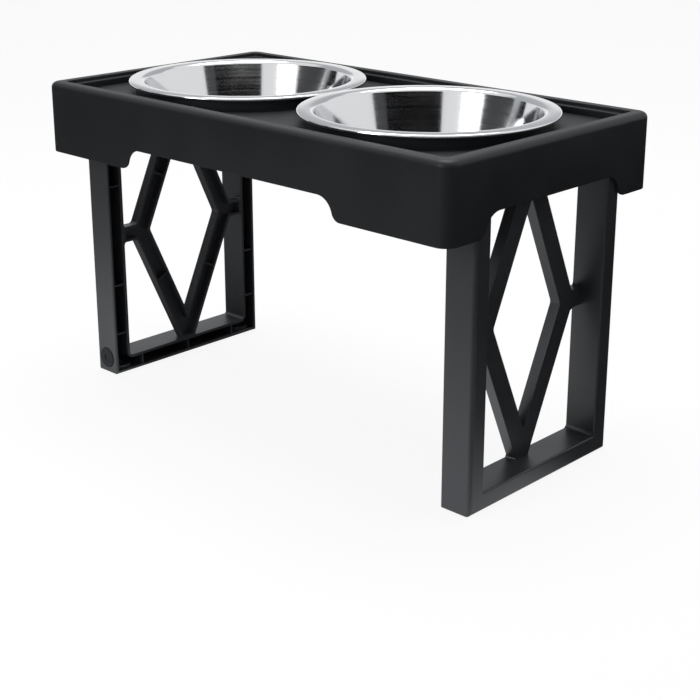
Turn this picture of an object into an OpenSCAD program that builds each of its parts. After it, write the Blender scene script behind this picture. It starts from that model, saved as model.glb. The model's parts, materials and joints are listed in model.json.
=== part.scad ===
// Raised pet feeder: a hollow moulded tray with two lift-out steel bowls,
// standing on two plug-in lattice legs.
// Millimetres. The origin lies on the floor under the middle of the tray,
// X runs along the tray, Y towards the back and Z up.

/* [Tray] */
// length of the tray
tray_l = 504; // [504:1:530]
// width of the tray, front to back
tray_w = 274; // [272:1:296]
// height of the tray's top edge above the floor
stand_h = 305; // [280:1:340]
// depth of the tray at its four corner feet
skirt_d = 67.5; // [64:0.5:80]
// thickness of the moulded walls
wall = 3; // [2.6:0.1:3.4]
// radius of the upright corners
corner_r = 12.5; // [10:0.5:18]
// rounding of the outer top edge
top_r = 5.5; // [4:0.5:7]
// width of the flat rim round the top
rim_w = 13; // [11:0.5:14]
// width of the ledge inside the rim
ledge_w = 7; // [5:0.5:8]
// drop from the rim to the ledge
ledge_drop = 3; // [2:0.25:4]
// drop from the rim to the deck
deck_drop = 9; // [8:0.25:11]

/* [Cut-outs] */
// height of the cut-outs in the skirt
cut_h = 19.5; // [14:0.5:22]
// width of the front and back cut-outs at the feet
cut_front_w = 280; // [240:1:300]
// width of the end cut-outs at the feet
cut_end_w = 198; // [180:1:204]
// radius of the upper bend of a cut-out's ends
cut_r = 17; // [10:0.5:19]
// how far a cut-out's ends turn, in degrees
cut_turn = 75; // [60:1:85]

/* [Bowls] */
// radius of the bowl over its rolled edge
bowl_r = 114; // [109:0.5:114]
// radius of the bowl's mouth
mouth_r = 99; // [94:0.5:100]
// depth inside the bowl
bowl_d = 57; // [45:0.5:58]
// thickness of the steel
bowl_t = 1; // [0.8:0.1:1.4]
// slope of the bowl's wall from upright, in degrees
bowl_slope = 15; // [12:0.5:20]
// bend from the flange into the wall
bowl_bend_r = 4; // [3:0.5:6]
// bend from the wall into the floor
bowl_floor_r = 14; // [8:0.5:18]
// radius of the rolled edge
bead_r = 1.7; // [1.4:0.1:2]
// distance of each bowl's axis from the tray's end
bowl_end_gap = 137.5; // [135:0.5:137.5]
// height of the seat collar above the rim
collar_rise = 2.5; // [1:0.1:3]
// thickness of the seat collar
collar_t = 3.6; // [2.6:0.2:5]
// gap between the bowl's upper bend and the collar
hole_gap = 0.4; // [0.3:0.1:0.8]

/* [Legs] */
// thickness of a leg, along the tray
leg_t = 31; // [27:0.5:32]
// how far a leg's long edges stand in from the sides of the tray
leg_side_gap = 40; // [38:0.5:44]
// width of the leg's posts
post_w = 18; // [16:0.5:22]
// height of the leg's bottom rail
rail_h = 16.5; // [15:0.5:20]
// height of the leg's top rail, inside the tray
top_rail_h = 18; // [16:0.5:24]
// rounding of the outside edges on the outer face
leg_edge_r = 4; // [2:0.5:5]
// rounding of the edges on the inner face
leg_inner_r = 1.5; // [1:0.25:2]
// rounding of the window's edges on the outer face
window_edge_r = 2; // [1:0.25:2.5]
// radius of the corners of the leg's window
window_r = 4; // [2:0.5:6]
// width of the clear diamond
diamond_w = 92.5; // [84:0.5:96]
// height of the clear diamond
diamond_h = 205; // [190:1:208]
// width of a strut
strut_w = 18.5; // [15:0.5:20]
// depth of the lattice from the leg's inner face
lattice_d = 10.4; // [8:0.2:14]
// width of the short stubs that tie the lattice to the frame
stub_w = 16; // [14:0.5:22]
// wall of the lattice channels
lattice_wall = 2.4; // [1.8:0.1:2.8]
// thickness of the cross ribs in the channels
rib_t = 2; // [1.6:0.1:2.6]

/* [Sockets] */
// gap round a plugged-in leg
leg_gap = 0.4; // [0.3:0.05:0.6]
// gap between a leg and the tray's end wall
end_gap = 0.6; // [0.5:0.1:1.2]
// thickness of the socket walls
bracket_t = 2.5; // [2:0.1:3]
// length of each end socket's corner along the leg
bracket_l = 30; // [22:1:36]
// length of each side socket's corner along the leg
side_bracket_l = 6; // [5:0.5:8]
// depth of the sockets
socket_d = 36; // [28:1:44]
// height of the rib across the middle of the deck's underside
deck_rib_h = 10; // [6:0.5:14]

/* [Foot pads] */
// diameter of a foot pad
pad_d = 21; // [18:0.5:25]
// height that a pad stands proud of the leg
pad_proud = 0.8; // [0.4:0.1:1.5]
// depth of the recess that holds a pad
pad_recess = 1.8; // [1.2:0.1:2.2]
// distance of a pad's middle from the leg's corner
pad_inset = 15; // [14:0.5:20]
// diameter of the dimple in a pad's face
dimple_d = 7; // [4:0.5:9]
// diameter of the pad's stem
stem_d = 6; // [4:0.5:7]
// gap round a pad
pad_gap = 0.1; // [0.05:0.05:0.2]

/* [Hidden] */
$fn = 96;
deck_z = stand_h - deck_drop;
deck_under = deck_z - wall;
skirt_z = stand_h - skirt_d;
collar_z = stand_h + collar_rise;
bowl_x = tray_l / 2 - bowl_end_gap;
bend_x = mouth_r + bowl_t / 2 + bowl_bend_r;
hole_r = bend_x + hole_gap;
recess_in = rim_w + ledge_w;
leg_z = pad_proud;
leg_top = deck_under;
leg_w = tray_w - 2 * leg_side_gap;
leg_h = leg_top - leg_z;
leg_mid = leg_z + leg_h / 2;
leg_x = tray_l / 2 - wall - end_gap;
leg_in_x = leg_x - leg_t;
side_leg_y = tray_w / 2 - wall - end_gap;
side_leg_half = (leg_h + pad_proud) / 2;
window_w = leg_w - 2 * post_w;
window_h = leg_h - rail_h - top_rail_h;
window_mid = leg_z + rail_h + window_h / 2;
half_w = diamond_w / 2;
half_h = diamond_h / 2;
strut_a = atan(half_w / half_h);
lattice_x = leg_in_x + lattice_d;
boss_t = 3;
rib_drop = 1.5;
cut_foot_r = (cut_h - cut_r * (1 - cos(cut_turn))) / (1 - cos(cut_turn));
embed = 1;

// Rectangle round the origin with rounded corners
module round_rect(l, w, r) {
    square([l - 2 * r, w], center = true);
    square([l, w - 2 * r], center = true);
    for (sx = [-1, 1], sy = [-1, 1]) {
        translate([sx * (l / 2 - r), sy * (w / 2 - r)]) circle(r);
    }
}

// Outline of the tray, set in by a distance
module tray_outline(inset) {
    round_rect(tray_l - 2 * inset, tray_w - 2 * inset, max(corner_r - inset, 4));
}

// Section of the tray's outside with its rounded top edges
module block_section(w) {
    translate([-w / 2, 0]) square([w, skirt_d - top_r]);
    translate([-w / 2 + top_r, 0]) square([w - 2 * top_r, skirt_d]);
    for (s = [-1, 1]) {
        translate([s * (w / 2 - top_r), skirt_d - top_r]) circle(top_r);
    }
}

// Upright corner of the tray with its rounded top edge
module block_corner() {
    rotate_extrude() {
        square([corner_r, skirt_d - top_r]);
        square([corner_r - top_r, skirt_d]);
        intersection() {
            translate([corner_r - top_r, skirt_d - top_r]) circle(top_r);
            square([corner_r, skirt_d]);
        }
    }
}

// Outside of the tray as a solid block
module tray_block() {
    x = tray_l / 2 - corner_r;
    y = tray_w / 2 - corner_r;
    translate([0, 0, skirt_z]) {
        translate([-x, 0, 0]) rotate([90, 0, 90]) linear_extrude(2 * x) block_section(tray_w);
        translate([0, y, 0]) rotate([90, 0, 0]) linear_extrude(2 * y) block_section(tray_l);
        for (sx = [-1, 1], sy = [-1, 1]) {
            translate([sx * x, sy * y, 0]) block_corner();
        }
    }
}

// Hollow of the tray from below, stepped like the top
module tray_hollow() {
    translate([0, 0, skirt_z - 1]) linear_extrude(deck_under - skirt_z + 1) tray_outline(wall);
    difference() {
        translate([0, 0, skirt_z]) linear_extrude(skirt_d - ledge_drop - wall) tray_outline(wall);
        linear_extrude(stand_h) tray_outline(recess_in - wall);
    }
    difference() {
        translate([0, 0, skirt_z]) linear_extrude(skirt_d - wall) tray_outline(wall + 1);
        linear_extrude(stand_h) tray_outline(rim_w - wall);
    }
}

// Half of a cut-out in the skirt, standing on the line through the origin
module half_cut(w) {
    upper = [w / 2 - (cut_r + cut_foot_r) * sin(cut_turn), cut_h - cut_r];
    lower = [w / 2, cut_foot_r];
    start = [upper.x, cut_h];
    meet = upper + cut_r * [sin(cut_turn), cos(cut_turn)];
    out = upper + 3 * cut_r * [sin(cut_turn / 2), cos(cut_turn / 2)];
    difference() {
        union() {
            polygon([[-1, -1], [-1, cut_h], start, meet, [lower.x, 0], [lower.x, -1]]);
            intersection() {
                translate(upper) circle(cut_r);
                polygon([start, out, meet]);
            }
        }
        translate(lower) circle(cut_foot_r);
    }
}

// Whole cut-out with an S-curve at each end
module cut_shape(w) {
    half_cut(w);
    mirror([1, 0]) half_cut(w);
}

// Cut-outs through the front, back and end walls
module skirt_cuts() {
    translate([0, tray_w / 2 + 1, skirt_z]) rotate([90, 0, 0]) linear_extrude(tray_w + 2)
        cut_shape(cut_front_w);
    translate([-tray_l / 2 - 1, 0, skirt_z]) rotate([90, 0, 90]) linear_extrude(tray_l + 2)
        cut_shape(cut_end_w);
}

// One corner of a socket: a wall beside the leg and a wall along it
module socket_corner(across, along) {
    translate([0, 0, deck_under - socket_d]) {
        translate([-across, 0, 0]) cube([across + bracket_t, bracket_t, socket_d + embed]);
        translate([0, -along, 0]) cube([bracket_t, along + bracket_t, socket_d + embed]);
    }
}

// Socket corners for the legs at the ends, one end of the tray
module end_sockets() {
    for (s = [0, 1]) {
        mirror([0, s, 0]) mirror([1, 0, 0])
            translate([-leg_in_x + leg_gap, leg_w / 2 + pad_proud + leg_gap, 0])
                socket_corner(leg_t + leg_gap + end_gap + embed, bracket_l);
    }
}

// Socket corners for the lower position, back side of the tray
module side_sockets() {
    for (s = [0, 1]) {
        mirror([s, 0, 0]) translate([side_leg_half + leg_gap, side_leg_y - leg_t - leg_gap, 0])
            rotate([0, 0, -90]) socket_corner(leg_t + leg_gap + end_gap + embed, side_bracket_l);
    }
}

// Sockets and a cross rib under the deck, kept clear of the bowls
module under_ribs() {
    rib_half = side_leg_y - leg_t - bracket_t - leg_gap;
    difference() {
        union() {
            for (a = [0, 180]) {
                rotate([0, 0, a]) end_sockets();
                rotate([0, 0, a]) side_sockets();
            }
            translate([-rib_t / 2, -rib_half, deck_under - deck_rib_h])
                cube([rib_t, 2 * rib_half, deck_rib_h + embed]);
        }
        for (s = [-1, 1]) {
            translate([s * bowl_x, 0, skirt_z]) cylinder(r = hole_r, h = skirt_d);
        }
    }
}

// Tray with its rim, deck, bowl collars, cut-outs and sockets
module tray() {
    color("#26282b") difference() {
        union() {
            difference() {
                tray_block();
                translate([0, 0, stand_h - ledge_drop]) linear_extrude(ledge_drop + 1) tray_outline(rim_w);
                translate([0, 0, deck_z]) linear_extrude(deck_drop + 1) tray_outline(recess_in);
                tray_hollow();
                skirt_cuts();
            }
            under_ribs();
            for (s = [-1, 1]) {
                translate([s * bowl_x, 0, deck_under])
                    cylinder(r = hole_r + collar_t, h = collar_z - deck_under);
            }
        }
        for (s = [-1, 1]) {
            translate([s * bowl_x, 0, deck_under - 1])
                cylinder(r = hole_r, h = collar_z - deck_under + 2);
        }
    }
}

// Part of a ring between two angles
module arc_band(r, t, a0, a1) {
    far = 3 * r;
    mid = (a0 + a1) / 2;
    intersection() {
        difference() {
            circle(r + t / 2);
            circle(r - t / 2);
        }
        polygon([[0, 0], far * [cos(a0), sin(a0)], far * [cos(mid), sin(mid)], far * [cos(a1), sin(a1)]]);
    }
}

// Section of a bowl: rolled edge, flange, sloping wall and flat floor
module bowl_section() {
    turn = 1 - sin(bowl_slope);
    wall_l = (bowl_d - (bowl_bend_r + bowl_floor_r) * turn) / cos(bowl_slope);
    top = [bend_x - bowl_bend_r * cos(bowl_slope), -bowl_bend_r * turn];
    foot = top - wall_l * [sin(bowl_slope), cos(bowl_slope)];
    mid = foot + bowl_floor_r * [-cos(bowl_slope), sin(bowl_slope)];
    translate([bend_x, -bowl_t / 2]) square([bowl_r - bead_r - bend_x, bowl_t]);
    translate([bowl_r - bead_r, bowl_t / 2 - bead_r]) circle(bead_r);
    translate([bend_x, -bowl_bend_r]) arc_band(bowl_bend_r, bowl_t, 90, 180 - bowl_slope);
    translate(foot) rotate(-bowl_slope) translate([-bowl_t / 2, 0]) square([bowl_t, wall_l]);
    translate(mid) arc_band(bowl_floor_r, bowl_t, -90, -bowl_slope);
    translate([0, -bowl_d - bowl_t / 2]) square([mid.x, bowl_t]);
}

// Bowl resting by its flange on the collar
module bowl(side) {
    color("#d5d8da") translate([side * bowl_x, 0, collar_z + bowl_t / 2]) rotate_extrude() bowl_section();
}

module left_bowl() {
    bowl(-1);
}

module right_bowl() {
    bowl(1);
}

// Plate cut from a shape in Y and Z, between two places along X
module plate(x0, x1) {
    translate([x0, 0, 0]) rotate([90, 0, 90]) linear_extrude(x1 - x0) children();
}

// Rectangle with two rounded corners at its far end and two small ones at its near end
module edge_section(l, t, far_r, near_r) {
    difference() {
        translate([-l / 2, 0]) square([l, t]);
        for (s = [-1, 1]) {
            difference() {
                translate([s * l / 2, t]) square(2 * far_r, center = true);
                translate([s * (l / 2 - far_r), t - far_r]) circle(far_r);
            }
            difference() {
                translate([s * l / 2, 0]) square(2 * near_r, center = true);
                translate([s * (l / 2 - near_r), near_r]) circle(near_r);
            }
        }
    }
}

// Outside of a leg with its rounded edges
module leg_block() {
    intersection() {
        translate([leg_in_x, 0, leg_z]) linear_extrude(leg_h)
            rotate(-90) edge_section(leg_w, leg_t, leg_edge_r, leg_inner_r);
        translate([leg_in_x, leg_w / 2 + 1, leg_mid]) rotate([90, 0, 0]) linear_extrude(leg_w + 2)
            rotate(-90) edge_section(leg_h, leg_t, leg_edge_r, leg_inner_r);
    }
}

// Corner that a rounded edge takes off
module edge_cut(r) {
    difference() {
        translate([-1, -1]) square(r + 1);
        translate([r, r]) circle(r);
    }
}

// Rounding of the window's edges on the outer face
module window_edges() {
    translate([leg_x, 0, window_mid]) for (s = [0, 1]) {
        mirror([0, 0, s]) translate([0, window_w / 2, window_h / 2]) mirror([1, 0, 0]) rotate([90, 0, 0])
            linear_extrude(window_w) edge_cut(window_edge_r);
        mirror([0, s, 0]) translate([0, window_w / 2, -window_h / 2]) mirror([1, 0, 0])
            linear_extrude(window_h) edge_cut(window_edge_r);
    }
}

// Diamond with its edges moved outwards by a distance
module diamond(grow) {
    w = half_w + grow / cos(strut_a);
    h = half_h + grow / sin(strut_a);
    polygon([[w, 0], [0, h], [-w, 0], [0, -h]]);
}

// Lattice inside the window, with its edges set in by a distance
module lattice_shape(inset) {
    over = inset > 0 ? -inset : 1;
    intersection() {
        square([window_w + 2 * over, window_h + 2 * over], center = true);
        difference() {
            union() {
                diamond(strut_w - inset);
                square([leg_w, stub_w - 2 * inset], center = true);
                square([stub_w - 2 * inset, leg_h], center = true);
            }
            diamond(inset);
        }
    }
}

// Channel along the posts and rails, open to the inner face
module ring_channel() {
    difference() {
        translate([0, leg_mid - window_mid]) square([leg_w - 2 * wall, leg_h - 2 * wall], center = true);
        round_rect(window_w + 2 * wall, window_h + 2 * wall, window_r + wall);
    }
}

// Cross ribs in the posts and rails
module ring_ribs() {
    for (s = [-1, 1]) {
        for (k = [-0.4, -0.2, 0.2, 0.4]) {
            translate([s * (leg_w / 2 - post_w / 2), k * window_h])
                square([post_w - wall, rib_t], center = true);
        }
    }
    for (k = [-0.32, 0, 0.32]) {
        translate([k * leg_w, -window_h / 2 - rail_h / 2])
            square([rib_t, rail_h - wall], center = true);
        translate([k * leg_w, window_h / 2 + top_rail_h / 2])
            square([rib_t, top_rail_h - wall], center = true);
    }
}

// Cross rib in the middle of each strut
module strut_ribs() {
    for (sy = [-1, 1], sz = [-1, 1]) {
        translate([sy * half_w / 2, sz * half_h / 2]) rotate(atan2(sz * half_w, sy * half_h))
            translate([strut_w / 2, 0]) square([strut_w - lattice_wall, rib_t], center = true);
    }
}

// Place of a foot pad: 0 and 1 under the leg, 2 and 3 on its back edge
module at_pad(k) {
    x = leg_in_x + leg_t / 2;
    y = leg_w / 2 - pad_inset;
    z = leg_h / 2 - pad_inset;
    if (k < 2) {
        translate([x, k == 0 ? -y : y, leg_z]) children();
    } else {
        translate([x, leg_w / 2, leg_mid + (k == 2 ? -z : z)]) rotate([90, 0, 0]) children();
    }
}

// Frame of the right leg: rounded outside, open window and a channel behind the outer face
module leg_frame() {
    difference() {
        leg_block();
        translate([0, 0, window_mid]) {
            plate(leg_in_x - 1, leg_x + 1) round_rect(window_w, window_h, window_r);
            plate(leg_in_x - 1, leg_x - wall) ring_channel();
        }
        window_edges();
    }
    translate([0, 0, window_mid]) plate(leg_in_x + rib_drop, leg_x - wall + embed) ring_ribs();
}

// Lattice of the right leg, thinner than the frame and level with its inner face
module leg_lattice() {
    translate([0, 0, window_mid]) {
        difference() {
            plate(leg_in_x, lattice_x) lattice_shape(0);
            plate(leg_in_x - 1, lattice_x - lattice_wall) lattice_shape(lattice_wall);
        }
        plate(leg_in_x + rib_drop, lattice_x - lattice_wall + embed) strut_ribs();
    }
}

// Right leg with the seats for its foot pads
module leg() {
    color("#2b2d30") difference() {
        union() {
            leg_frame();
            leg_lattice();
            for (k = [0 : 3]) {
                at_pad(k) translate([0, 0, wall - embed]) cylinder(d = pad_d + 3, h = boss_t + embed);
            }
        }
        for (k = [0 : 3]) {
            at_pad(k) translate([0, 0, -1]) cylinder(d = pad_d + 2 * pad_gap, h = pad_recess + 1);
            at_pad(k) cylinder(d = stem_d + 2 * pad_gap, h = wall + boss_t + 1);
        }
    }
}

module left_leg() {
    rotate([0, 0, 180]) leg();
}

module right_leg() {
    leg();
}

// Section of a foot pad: rounded disc with a dimple and a stem
module pad_section() {
    r = pad_d / 2;
    edge = pad_proud;
    translate([dimple_d / 2, -pad_proud]) square([r - edge - dimple_d / 2, edge]);
    translate([r - edge, 0]) circle(edge);
    square([r, pad_recess]);
    square([stem_d / 2, wall + boss_t + 1.5]);
}

// Foot pad in one of the four places on the right leg
module pad(k) {
    color("#141517") at_pad(k) rotate_extrude() pad_section();
}

module left_floor_pad_front() {
    rotate([0, 0, 180]) pad(1);
}

module left_floor_pad_back() {
    rotate([0, 0, 180]) pad(0);
}

module left_side_pad_low() {
    rotate([0, 0, 180]) pad(2);
}

module left_side_pad_high() {
    rotate([0, 0, 180]) pad(3);
}

module right_floor_pad_front() {
    pad(0);
}

module right_floor_pad_back() {
    pad(1);
}

module right_side_pad_low() {
    pad(2);
}

module right_side_pad_high() {
    pad(3);
}

tray();
left_bowl();
right_bowl();
left_leg();
right_leg();
left_floor_pad_front();
left_floor_pad_back();
left_side_pad_low();
left_side_pad_high();
right_floor_pad_front();
right_floor_pad_back();
right_side_pad_low();
right_side_pad_high();
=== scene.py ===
import json
import math

import bmesh
import bpy
from bpy.props import FloatProperty, FloatVectorProperty, PointerProperty
from mathutils import Matrix, Vector

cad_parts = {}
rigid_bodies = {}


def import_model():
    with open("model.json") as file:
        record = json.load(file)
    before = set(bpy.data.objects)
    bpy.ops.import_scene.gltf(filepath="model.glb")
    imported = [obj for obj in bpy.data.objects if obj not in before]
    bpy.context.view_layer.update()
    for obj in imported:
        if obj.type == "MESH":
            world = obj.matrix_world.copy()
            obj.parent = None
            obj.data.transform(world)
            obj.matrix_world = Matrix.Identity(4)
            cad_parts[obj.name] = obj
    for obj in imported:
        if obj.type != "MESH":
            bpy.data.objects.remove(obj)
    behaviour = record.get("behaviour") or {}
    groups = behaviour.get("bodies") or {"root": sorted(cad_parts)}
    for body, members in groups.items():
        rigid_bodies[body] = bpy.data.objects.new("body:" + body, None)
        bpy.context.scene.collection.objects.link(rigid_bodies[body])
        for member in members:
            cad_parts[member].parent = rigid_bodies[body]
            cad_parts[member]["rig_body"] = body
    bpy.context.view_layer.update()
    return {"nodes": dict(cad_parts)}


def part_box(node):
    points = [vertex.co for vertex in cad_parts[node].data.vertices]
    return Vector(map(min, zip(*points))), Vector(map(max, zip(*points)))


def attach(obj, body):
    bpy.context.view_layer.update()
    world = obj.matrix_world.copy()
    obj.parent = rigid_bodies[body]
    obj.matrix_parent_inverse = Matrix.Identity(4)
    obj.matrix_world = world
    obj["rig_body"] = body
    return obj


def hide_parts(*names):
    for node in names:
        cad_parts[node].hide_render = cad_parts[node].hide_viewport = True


bl_info = {
    "name": "Raised dog feeder",
    "version": (1, 0, 0),
    "blender": (4, 5, 0),
    "location": "View3D > Sidebar > Feeder",
    "description": "Builds a raised dog feeder with steel bowls and lattice legs, and its studio",
    "category": "Object",
}

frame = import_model()

BOWLS = {"left_bowl": "left", "right_bowl": "right"}
LEGS = ["left_leg", "right_leg"]
PADS = sorted(n for n in frame["nodes"] if "pad" in n)

# Of the solids, in metres: the rounding of a leg window's outer edges and the depth of the lattice bars.
WINDOW_ROUNDING = 0.002
LATTICE_DEPTH_MIN = 0.0095
LATTICE_DEPTH_MAX = 0.0115

# Points of a solid that are nearer than this are one point. After the rounding, a wider reach is needed.
SAME_POINT = 2e-6
SAME_ROUNDED_POINT = 1e-5

# An edge or face thinner than this has no shape of its own and is dissolved.
NO_SHAPE = 1e-6

# Scraps shorter than this, in metres, and tips smaller than this, in square metres, aren't rounded.
SHORT_EDGE = 0.00018
TIP_AREA = 5e-6
TIP_CORNERS = 8

# The camera's place and angles are those of the photograph.
CAMERA_TURN = math.radians(43.68)
CAMERA_RISE = math.radians(17.83)
CAMERA_PLACE = (0.9098, -0.9306, 0.5420)
CAMERA_LENS_MM = 74.0
CAMERA_SENSOR_MM = 36.0
CAMERA_SHIFT_Y = -0.093

# Each cloth: distance in metres, start and end in degrees round from the front, foot and top, tone.
SCREENS = {
    "black_cloth": (2.2, 28, 90, 0.8, 1.5, "black"),
    "dark_cloth": (2.2, 90, 104, 0.8, 1.5, "grey"),
    "grey_cloth": (2.2, -68, -20, 0.8, 1.5, "grey"),
    "pale_backdrop": (2.2, 170, 300, 0.73, 2.4, "pale"),
    "front_cloth": (2.2, -80, -5, 0.0, 0.75, "black"),
    "low_flag": (0.8, 55, 175, 0.0, 0.3, "black"),
}


def linear_colour(text):
    """Turns an sRGB hex colour into linear red, green and blue."""
    channels = [int(text[i:i + 2], 16) / 255 for i in (1, 3, 5)]
    return [c / 12.92 if c <= 0.04045 else ((c + 0.055) / 1.055) ** 2.4 for c in channels]


def colour_property(name, text, description):
    """A colour that a user can change, given as sRGB hex."""
    return FloatVectorProperty(name=name, description=description, subtype="COLOR", size=3,
                               min=0, max=1, default=linear_colour(text))


def length_property(name, metres, description):
    """A length that a user can change, in metres."""
    return FloatProperty(name=name, description=description, default=metres, min=0,
                         unit="LENGTH", precision=5)


class FeederSizes(bpy.types.PropertyGroup):
    """Sizes of the pieces that are made here."""
    tray_edge: length_property("Tray edge", 0.0006, "Rounding of the tray's moulded edges")
    leg_edge: length_property("Leg edge", 0.0004, "Rounding of the legs' moulded edges")
    lattice_fillet: length_property("Lattice fillet", 0.0025, "Rounding where the lattice bars meet")
    pad_edge: length_property("Pad edge", 0.0003, "Rounding of the rubber pads' edges")
    steel: length_property("Steel", 0.001, "Thickness of the bowl's steel sheet")
    bead: length_property("Bead", 0.0017, "Outer radius of the bowl's rolled edge")
    upper_bend: length_property("Upper bend", 0.004, "Bend from the bowl's flange into its wall")
    floor_bend: length_property("Floor bend", 0.014, "Bend from the bowl's wall into its floor")
    mouth: length_property("Mouth", 0.0995, "Radius where the bowl's wall and flange would meet in a corner")
    bowl_depth: length_property("Bowl depth", 0.057, "Depth of the bowl from flange to floor")
    wall_slope: FloatProperty(name="Wall slope", description="Slope of the bowl's wall from upright",
                              default=math.radians(15), subtype="ANGLE")


class FeederColours(bpy.types.PropertyGroup):
    """Colours of the finishes and of the studio."""
    tray: colour_property("Tray", "#17181a", "Black of the moulded tray")
    legs: colour_property("Legs", "#222326", "Black of the moulded legs")
    steel: colour_property("Steel", "#d6d7d9", "Tint of the polished steel")
    rubber: colour_property("Rubber", "#28292b", "Black of the rubber pads")
    floor: colour_property("Floor", "#f4f4f4", "Pale floor of the studio")
    black_cloth: colour_property("Black cloth", "#0c0c0d", "Black cloth that shows in reflections")
    grey_cloth: colour_property("Grey cloth", "#4a4b4d", "Dark grey cloth that shows in reflections")
    pale_cloth: colour_property("Pale cloth", "#c2c4c7", "Pale backdrop that shows in reflections")


def add_node(tree, kind, sockets=None, **settings):
    """Adds a shader node. A socket takes a plain value or the output of another node."""
    node = tree.nodes.new(kind)
    for name, value in settings.items():
        setattr(node, name, value)
    for name, value in (sockets or {}).items():
        if isinstance(value, bpy.types.NodeSocket):
            tree.links.new(value, node.inputs[name])
        else:
            node.inputs[name].default_value = value
    return node


def new_material(name):
    """An empty material, given back with its node tree."""
    material = bpy.data.materials.new(name)
    material.use_nodes = True
    material.node_tree.nodes.clear()
    return material, material.node_tree


def surface(tree, shader):
    """Ends a node tree with its output."""
    add_node(tree, "ShaderNodeOutputMaterial", {"Surface": shader.outputs[0]})


def satin_black_plastic(name, colour, shine, rough):
    """Moulded plastic: deep black, a broad soft sheen, fine grain from the mould."""
    material, tree = new_material(name)
    place = add_node(tree, "ShaderNodeTexCoord").outputs["Object"]
    # Spark-eroded mould grain is about 0.3 mm across. It is drawn at 0.9 mm so that a render can hold it.
    grain = add_node(tree, "ShaderNodeTexNoise", {"Vector": place, "Scale": 1100.0, "Detail": 2.0})
    # Slow flow marks of the melt, about 60 mm long, make the sheen and the black uneven.
    flow = add_node(tree, "ShaderNodeTexNoise", {"Vector": place, "Scale": 16.0, "Detail": 3.0})
    sheen = add_node(tree, "ShaderNodeMapRange", {
        "Value": flow.outputs["Fac"], "From Min": 0.3, "From Max": 0.7,
        "To Min": rough - 0.05, "To Max": rough + 0.05})
    tone = add_node(tree, "ShaderNodeMapRange", {
        "Value": flow.outputs["Fac"], "From Min": 0.3, "From Max": 0.7, "To Min": 0.9, "To Max": 1.1})
    paint = add_node(tree, "ShaderNodeVectorMath", {0: [*colour], "Scale": tone.outputs["Result"]},
                     operation="SCALE")
    bump = add_node(tree, "ShaderNodeBump", {
        "Height": grain.outputs["Fac"], "Strength": 0.12, "Distance": 0.0002})
    # The sheen on black plastic looks a little blue.
    surface(tree, add_node(tree, "ShaderNodeBsdfPrincipled", {
        "Base Color": paint.outputs["Vector"], "Roughness": sheen.outputs["Result"],
        "Normal": bump.outputs["Normal"], "Specular IOR Level": shine,
        "Specular Tint": (0.91, 0.95, 1.0, 1)}))
    return material


def polished_steel(name, colour, centre):
    """Stainless steel: a bright mirror with faint rings left by the polishing wheel."""
    material, tree = new_material(name)
    place = add_node(tree, "ShaderNodeTexCoord").outputs["Object"]
    flat = add_node(tree, "ShaderNodeMapping", {
        "Vector": place, "Location": (-centre.x, -centre.y, 0), "Scale": (1, 1, 0)})
    radius = add_node(tree, "ShaderNodeVectorMath", {0: flat.outputs["Vector"]}, operation="LENGTH")
    # Polishing lines are about 0.05 mm apart. They are drawn as rings of about 0.7 mm.
    rings = add_node(tree, "ShaderNodeTexNoise", {
        "W": radius.outputs["Value"], "Scale": 1400.0, "Detail": 2.0}, noise_dimensions="1D")
    # Handling leaves a haze in patches of about 25 mm.
    haze = add_node(tree, "ShaderNodeTexNoise", {"Vector": place, "Scale": 40.0, "Detail": 3.0})
    mixed = add_node(tree, "ShaderNodeMath", {0: rings.outputs["Fac"], 1: haze.outputs["Fac"]},
                     operation="ADD")
    gloss = add_node(tree, "ShaderNodeMapRange", {
        "Value": mixed.outputs["Value"], "From Min": 0.7, "From Max": 1.3, "To Min": 0.08, "To Max": 0.13})
    bump = add_node(tree, "ShaderNodeBump", {
        "Height": rings.outputs["Fac"], "Strength": 0.008, "Distance": 0.0001})
    surface(tree, add_node(tree, "ShaderNodeBsdfPrincipled", {
        "Base Color": (*colour, 1), "Metallic": 1.0, "Roughness": gloss.outputs["Result"],
        "Normal": bump.outputs["Normal"]}))
    return material


def dull_black_rubber(name, colour):
    """Rubber: no gloss, a dusty unevenness and a fine pebbled skin."""
    material, tree = new_material(name)
    place = add_node(tree, "ShaderNodeTexCoord").outputs["Object"]
    # The skin's pebbles are about 0.2 mm across and are drawn at 0.6 mm.
    pebbles = add_node(tree, "ShaderNodeTexVoronoi", {"Vector": place, "Scale": 1600.0})
    # Dust lies in patches of about 4 mm.
    dust = add_node(tree, "ShaderNodeTexNoise", {"Vector": place, "Scale": 250.0, "Detail": 3.0})
    rough = add_node(tree, "ShaderNodeMapRange", {
        "Value": dust.outputs["Fac"], "To Min": 0.66, "To Max": 0.86})
    bump = add_node(tree, "ShaderNodeBump", {
        "Height": pebbles.outputs["Distance"], "Strength": 0.2, "Distance": 0.0002})
    surface(tree, add_node(tree, "ShaderNodeBsdfPrincipled", {
        "Base Color": (*colour, 1), "Roughness": rough.outputs["Result"],
        "Normal": bump.outputs["Normal"], "Specular IOR Level": 0.25}))
    return material


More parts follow.
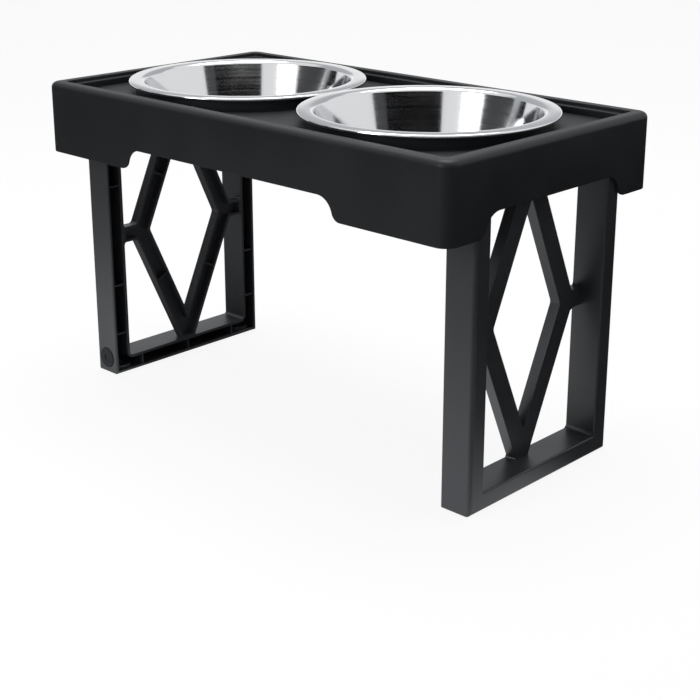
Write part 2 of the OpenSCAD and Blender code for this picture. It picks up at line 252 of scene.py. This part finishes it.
def pale_paper_with_painted_pool(name, colour):
    """Floor paper: matt, white, with a soft shadow. A pool of light is painted on it, and only glossy faces
    mirror it.
    """
    material, tree = new_material(name)
    rays = add_node(tree, "ShaderNodeLightPath")
    place = add_node(tree, "ShaderNodeTexCoord").outputs["Object"]
    # The painted pool of light is a band in front of the legs, about 0.6 m deep. It runs aslant and fades at
    # both ends.
    depth = add_node(tree, "ShaderNodeVectorMath", {0: place, 1: (0.22, -0.975, 0)},
                     operation="DOT_PRODUCT").outputs["Value"]
    across = add_node(tree, "ShaderNodeSeparateXYZ", {"Vector": place}).outputs["X"]
    fades = ((depth, -0.02, 0.08, 0.1, 1.0), (depth, 0.2, 0.6, 1.0, 0.2),
             (across, 0.23, 0.33, 1.0, 0.35), (across, -0.75, -0.35, 0.35, 1.0))
    painted_light_pool = 1.0
    for measure, start, end, first, last in fades:
        fade = add_node(tree, "ShaderNodeMapRange", {
            "Value": measure, "From Min": start, "From Max": end, "To Min": first, "To Max": last},
            interpolation_type="SMOOTHSTEP")
        painted_light_pool = add_node(tree, "ShaderNodeMath", {0: painted_light_pool, 1: fade.outputs["Result"]},
                        operation="MULTIPLY").outputs["Value"]
    # Glossy rays see the painted pool of light. The camera sees even white paper.
    glow = add_node(tree, "ShaderNodeMix", {"Factor": rays.outputs["Is Glossy Ray"], "A": 1.0, "B": painted_light_pool})
    # A tenth of the matt paper shows to the camera, and with it the shadow.
    seen = add_node(tree, "ShaderNodeMath", {
        0: rays.outputs["Is Camera Ray"], 1: 0.9, 2: rays.outputs["Is Glossy Ray"]},
        operation="MULTIPLY_ADD")
    matt = add_node(tree, "ShaderNodeBsdfDiffuse", {"Color": (*colour, 1)})
    white = add_node(tree, "ShaderNodeEmission", {"Color": (1, 1, 1, 1), "Strength": glow.outputs["Result"]})
    surface(tree, add_node(tree, "ShaderNodeMixShader", {
        "Fac": seen.outputs["Value"], 1: matt.outputs["BSDF"], 2: white.outputs["Emission"]}))
    return material


def studio_cloth(name, colour):
    """A plain sheet of the studio, with one even tone in reflections."""
    material, tree = new_material(name)
    surface(tree, add_node(tree, "ShaderNodeEmission", {"Color": (*colour, 1), "Strength": 1.0}))
    return material


def mesh_object(name, mesh, material, auto_sharp):
    """Makes an object from a bmesh, smooth except over edges sharper than the given angle."""
    for face in mesh.faces:
        face.smooth = True
    for edge in mesh.edges:
        edge.smooth = not edge.is_manifold or edge.calc_face_angle() < auto_sharp
    data = bpy.data.meshes.new(name)
    mesh.to_mesh(data)
    mesh.free()
    data.materials.append(material)
    piece = bpy.data.objects.new(name, data)
    bpy.context.scene.collection.objects.link(piece)
    return piece


def take_place(piece, node):
    """Puts a piece in the place of a solid: the solid is hidden and the piece rides on the same body."""
    body = frame["nodes"][node]["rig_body"]
    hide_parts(node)
    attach(piece, body)


def round_edges(mesh, edges, offset, segments):
    """Rounds some edges of a bmesh."""
    bmesh.ops.bevel(mesh, geom=edges, offset=offset, offset_type="OFFSET", affect="EDGES",
                    segments=segments, profile=0.5, material=-1, clamp_overlap=False, loop_slide=True)


def merge_flats(mesh):
    """Joins the triangles of each flat face."""
    bmesh.ops.dissolve_limit(mesh, angle_limit=math.radians(0.4), use_dissolve_boundaries=False,
                             verts=mesh.verts, edges=mesh.edges)


def is_lattice_corner(edge):
    """True for the inward corners between lattice bars, which run across the leg."""
    if not edge.is_manifold or edge.is_convex:
        return False
    along = edge.verts[1].co - edge.verts[0].co
    return (abs(along.x) > 0.999 * along.length
            and LATTICE_DEPTH_MIN < along.length < LATTICE_DEPTH_MAX
            and edge.calc_face_angle() > math.radians(20))


def is_mitre(edge):
    """True for an edge where two roundings of the solid cross, aslant to all three axes."""
    return min(abs(c) for c in edge.verts[1].co - edge.verts[0].co) > 1e-5


def mitre_window(mesh, rounding):
    """Joins the rounded outer edges of a leg's window in mitres at its four corners."""
    outer = max(abs(v.co.x) for v in mesh.verts)
    # Short posts stand across the leg where the roundings stop. Each goes from its foot to its outer top.
    posts = []
    for edge in mesh.edges:
        foot, top = sorted(edge.verts, key=lambda v: abs(v.co.x))
        if (abs(edge.calc_length() - rounding) < 2e-5 and abs(abs(top.co.x) - outer) < 1e-5
                and abs(top.co.x - foot.co.x) > 0.99 * rounding):
            posts.append((foot, top))
    corners = [(foot, top) for foot, top in posts
               if all(e.calc_length() > 0.99 * rounding for e in top.link_edges)]
    if len(corners) != 4:
        raise RuntimeError(f"the window has {len(corners)} corners to mitre")
    caps = []
    for foot, top in corners:
        sides = [e.other_vert(top).co - top.co for e in top.link_edges if e.other_vert(top) is not foot]
        slant = sum(sides, Vector()) / rounding
        ends = [f for f in top.link_faces if foot in f.verts]
        for v in {v for f in ends for v in f.verts} - {foot, top}:
            away = v.co - foot.co
            away.x = 0
            v.co = Vector((v.co.x, foot.co.y, foot.co.z)) + slant * away.length
        top.co += slant * rounding
        caps += ends
    bmesh.ops.delete(mesh, geom=caps, context="FACES_ONLY")
    standing = {top for foot, top in corners}
    bmesh.ops.weld_verts(mesh, targetmap={top: foot for foot, top in posts if top not in standing})
    bmesh.ops.remove_doubles(mesh, verts=mesh.verts, dist=SAME_POINT)
    bmesh.ops.delete(mesh, geom=[e for e in mesh.edges if e.is_wire], context="EDGES")
    bmesh.ops.dissolve_degenerate(mesh, dist=NO_SHAPE, edges=mesh.edges)
    merge_flats(mesh)


def moulded_copy(node, name, material, edge, fillet=0.0):
    """Merges a solid's loose triangles and rounds its edges as a mould leaves them."""
    mesh = bmesh.new()
    mesh.from_mesh(frame["nodes"][node].data)
    bmesh.ops.remove_doubles(mesh, verts=mesh.verts, dist=SAME_POINT)
    merge_flats(mesh)
    if fillet:
        mitre_window(mesh, WINDOW_ROUNDING)
        corners = [e for e in mesh.edges if is_lattice_corner(e)]
        if not corners:
            raise RuntimeError(f"{node} has no lattice corners to round")
        round_edges(mesh, corners, fillet, 3)
    # An edge that ends in a scrap too short to round, or bounds the tip of a ledge, would throw a spike.
    scraps = {v for e in mesh.edges if e.calc_length() < SHORT_EDGE for v in e.verts}
    tips = {e for f in mesh.faces if f.calc_area() < TIP_AREA and len(f.verts) > TIP_CORNERS for e in f.edges}
    sharp = [e for e in mesh.edges if e.is_manifold and e.is_convex and scraps.isdisjoint(e.verts)
             and e not in tips and not is_mitre(e) and e.calc_face_angle() > math.radians(28)]
    round_edges(mesh, sharp, edge, 2)
    bmesh.ops.remove_doubles(mesh, verts=mesh.verts, dist=SAME_ROUNDED_POINT)
    bmesh.ops.dissolve_degenerate(mesh, dist=NO_SHAPE, edges=mesh.edges)
    bmesh.ops.triangulate(mesh, faces=[f for f in mesh.faces if len(f.verts) > 4])
    piece = mesh_object(name, mesh, material, math.radians(35))
    normals = piece.modifiers.new("Even shading", "WEIGHTED_NORMAL")
    normals.keep_sharp = True
    return piece


class FEEDER_OT_tray(bpy.types.Operator):
    """Makes the moulded tray with its rim, ledge, deck, collars and skirt"""
    bl_idname = "feeder.tray"
    bl_label = "Tray"

    def execute(self, context):
        sizes, colours = context.scene.feeder_sizes, context.scene.feeder_colours
        plastic = satin_black_plastic("black_plastic_satin_tray", colours.tray, shine=0.3, rough=0.48)
        piece = moulded_copy("tray", "moulded_tray", plastic, sizes.tray_edge)
        take_place(piece, "tray")
        return {"FINISHED"}


class FEEDER_OT_legs(bpy.types.Operator):
    """Makes the two plug-in legs with their lattices and ribbed channels"""
    bl_idname = "feeder.legs"
    bl_label = "Legs"

    def execute(self, context):
        sizes, colours = context.scene.feeder_sizes, context.scene.feeder_colours
        plastic = satin_black_plastic("black_plastic_satin_legs", colours.legs, shine=0.75, rough=0.4)
        for node in LEGS:
            piece = moulded_copy(node, "moulded_" + node, plastic, sizes.leg_edge, sizes.lattice_fillet)
            take_place(piece, node)
        return {"FINISHED"}


class FEEDER_OT_bowls(bpy.types.Operator):
    """Makes the two spun steel bowls with their flanges and rolled edges"""
    bl_idname = "feeder.bowls"
    bl_label = "Bowls"

    def execute(self, context):
        sizes, colours = context.scene.feeder_sizes, context.scene.feeder_colours
        for node, side in BOWLS.items():
            low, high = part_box(node)
            centre = (low + high) / 2
            steel = polished_steel("stainless_steel_polished_" + side, colours.steel, centre)
            piece = self.spun_bowl(side + "_spun_bowl", sizes, low, high, steel)
            take_place(piece, node)
        return {"FINISHED"}

    def spun_bowl(self, name, sizes, low, high, steel):
        """Spins the middle line of the sheet round the bowl's axis and gives it thickness."""
        centre = (low + high) / 2
        top = high.z - sizes.steel / 2
        curl = sizes.bead - sizes.steel / 2
        edge_r = (high.x - low.x) / 2 - sizes.bead
        floor_r = sizes.mouth - sizes.bowl_depth * math.tan(sizes.wall_slope)
        turn = math.tan((math.pi / 2 - sizes.wall_slope) / 2)
        corners = [(0, -sizes.bowl_depth), (floor_r, -sizes.bowl_depth), (sizes.mouth, 0), (edge_r, 0)]
        mesh = bmesh.new()
        line = [mesh.verts.new((centre.x + r, centre.y, top + z)) for r, z in corners]
        for a, b in zip(line, line[1:]):
            mesh.edges.new((a, b))
        bmesh.ops.spin(mesh, geom=[line[3]], cent=(centre.x + edge_r, centre.y, top - curl), axis=(0, 1, 0),
                       angle=math.radians(270), steps=14)
        for corner, bend in ((line[1], sizes.floor_bend), (line[2], sizes.upper_bend)):
            bmesh.ops.bevel(mesh, geom=[corner], offset=bend * turn, offset_type="OFFSET", affect="VERTICES",
                            segments=10, profile=0.5, material=-1)
        bmesh.ops.spin(mesh, geom=mesh.verts[:] + mesh.edges[:], cent=centre, axis=(0, 0, 1),
                       angle=math.tau, steps=224, use_merge=True)
        bmesh.ops.remove_doubles(mesh, verts=mesh.verts, dist=1e-6)
        bmesh.ops.recalc_face_normals(mesh, faces=mesh.faces)
        piece = mesh_object(name, mesh, steel, math.radians(40))
        sheet = piece.modifiers.new("Sheet", "SOLIDIFY")
        sheet.thickness = sizes.steel
        sheet.offset = 0
        sheet.use_even_offset = True
        return piece


class FEEDER_OT_pads(bpy.types.Operator):
    """Makes the round rubber pads under the legs and on their long edges"""
    bl_idname = "feeder.pads"
    bl_label = "Foot pads"

    def execute(self, context):
        sizes, colours = context.scene.feeder_sizes, context.scene.feeder_colours
        rubber = dull_black_rubber("black_rubber_dull", colours.rubber)
        for node in PADS:
            piece = moulded_copy(node, "rubber_" + node, rubber, sizes.pad_edge)
            take_place(piece, node)
        return {"FINISHED"}


class FEEDER_OT_stage(bpy.types.Operator):
    """Makes the pale floor, the studio light and the camera"""
    bl_idname = "feeder.stage"
    bl_label = "Stage"

    def execute(self, context):
        colours = context.scene.feeder_colours
        context.scene.view_settings.view_transform = "Standard"
        self.floor(colours)
        self.sky(context.scene)
        self.screens(colours)
        self.lamp("Overhead softbox", place=(-0.1, 0.25, 1.9), target=(0, 0, 0.3),
                  size=(1.5, 1.1), watts=28.0)
        self.lamp("Front softbox", place=(-0.2, -1.9, 0.9), target=(0, 0, 0.2),
                  size=(0.7, 0.9), watts=11.0)
        self.camera(context.scene)
        return {"FINISHED"}

    def floor(self, colours):
        """A flat sheet of paper, 16 m wide, whose edges are out of sight."""
        mesh = bmesh.new()
        bmesh.ops.create_grid(mesh, x_segments=1, y_segments=1, size=8)
        paper = pale_paper_with_painted_pool("pale_paper_with_painted_pool", colours.floor)
        mesh_object("studio_floor", mesh, paper, 0.5)

    def sky(self, scene):
        """Even light all round, white to the camera and to mirrors."""
        world = bpy.data.worlds.new("studio")
        world.use_nodes = True
        tree = world.node_tree
        tree.nodes.clear()
        rays = add_node(tree, "ShaderNodeLightPath").outputs
        seen = add_node(tree, "ShaderNodeMath", {0: rays["Is Camera Ray"], 1: rays["Is Glossy Ray"]},
                        operation="MAXIMUM")
        clear = add_node(tree, "ShaderNodeMath", {0: seen.outputs["Value"], 1: rays["Is Transmission Ray"]},
                         operation="MAXIMUM")
        level = add_node(tree, "ShaderNodeMapRange", {
            "Value": clear.outputs["Value"], "To Min": 0.5, "To Max": 1.0})
        back = add_node(tree, "ShaderNodeBackground", {
            "Color": (1, 1, 1, 1), "Strength": level.outputs["Result"]})
        add_node(tree, "ShaderNodeOutputWorld", {"Surface": back.outputs["Background"]})
        scene.world = world

    def screens(self, colours):
        """Curved cloths that show in reflections only. The low flag also dims the light beside the stand."""
        cloths = {"black": studio_cloth("black_studio_cloth", colours.black_cloth),
                  "grey": studio_cloth("grey_studio_cloth", colours.grey_cloth),
                  "pale": studio_cloth("pale_studio_cloth", colours.pale_cloth)}
        for name, (away, start, end, low, high, cloth) in SCREENS.items():
            mesh = bmesh.new()
            foot = mesh.verts.new((0, -away, low))
            bmesh.ops.rotate(mesh, verts=[foot], cent=(0, 0, 0),
                             matrix=Matrix.Rotation(math.radians(start), 3, "Z"))
            bmesh.ops.spin(mesh, geom=[foot], cent=(0, 0, 0), axis=(0, 0, 1),
                           angle=math.radians(end - start), steps=12)
            raised = bmesh.ops.extrude_edge_only(mesh, edges=mesh.edges[:])["geom"]
            bmesh.ops.translate(mesh, verts=[v for v in raised if isinstance(v, bmesh.types.BMVert)],
                                vec=(0, 0, high - low))
            screen = mesh_object("studio_" + name, mesh, cloths[cloth], 0.5)
            screen.visible_camera = False
            screen.visible_diffuse = name == "low_flag"
            screen.visible_shadow = False
            screen.visible_transmission = False

    def lamp(self, name, place, target, size, watts):
        """A softbox that faces its target and that the camera doesn't see."""
        light = bpy.data.lights.new(name, "AREA")
        light.shape = "RECTANGLE"
        light.size, light.size_y = size
        light.energy = watts
        lamp = bpy.data.objects.new(name, light)
        lamp.location = place
        lamp.rotation_euler = (Vector(place) - Vector(target)).to_track_quat("Z", "Y").to_euler()
        lamp.visible_camera = False
        bpy.context.scene.collection.objects.link(lamp)

    def camera(self, scene):
        """Stands at the photograph's angle: 44 degrees round from the front and 18 above level."""
        back = Vector((math.sin(CAMERA_TURN) * math.cos(CAMERA_RISE),
                       -math.cos(CAMERA_TURN) * math.cos(CAMERA_RISE), math.sin(CAMERA_RISE)))
        lens = bpy.data.cameras.new("camera")
        lens.sensor_width = CAMERA_SENSOR_MM
        lens.lens = CAMERA_LENS_MM
        lens.shift_y = CAMERA_SHIFT_Y
        lens.clip_start, lens.clip_end = 0.05, 60
        view = bpy.data.objects.new("camera", lens)
        view.rotation_euler = (-back).to_track_quat("-Z", "Y").to_euler()
        view.location = CAMERA_PLACE
        scene.collection.objects.link(view)
        scene.camera = view


class FEEDER_PT_panel(bpy.types.Panel):
    """Lists the feeder's pieces, sizes and colours"""
    bl_idname = "FEEDER_PT_panel"
    bl_label = "Raised dog feeder"
    bl_space_type = "VIEW_3D"
    bl_region_type = "UI"
    bl_category = "Feeder"

    def draw(self, context):
        for operator in OPERATORS:
            self.layout.operator(operator.bl_idname)
        for group in (context.scene.feeder_sizes, context.scene.feeder_colours):
            column = self.layout.column()
            for name in group.__annotations__:
                column.prop(group, name)


OPERATORS = [FEEDER_OT_tray, FEEDER_OT_legs, FEEDER_OT_bowls, FEEDER_OT_pads, FEEDER_OT_stage]
CLASSES = [FeederSizes, FeederColours, *OPERATORS, FEEDER_PT_panel]


def register():
    for item in CLASSES:
        bpy.utils.register_class(item)
    bpy.types.Scene.feeder_sizes = PointerProperty(type=FeederSizes)
    bpy.types.Scene.feeder_colours = PointerProperty(type=FeederColours)


def unregister():
    del bpy.types.Scene.feeder_colours
    del bpy.types.Scene.feeder_sizes
    for item in reversed(CLASSES):
        bpy.utils.unregister_class(item)


def main():
    register()
    bpy.ops.feeder.tray()
    bpy.ops.feeder.legs()
    bpy.ops.feeder.bowls()
    bpy.ops.feeder.pads()
    bpy.ops.feeder.stage()


if __name__ == "__main__":
    main()
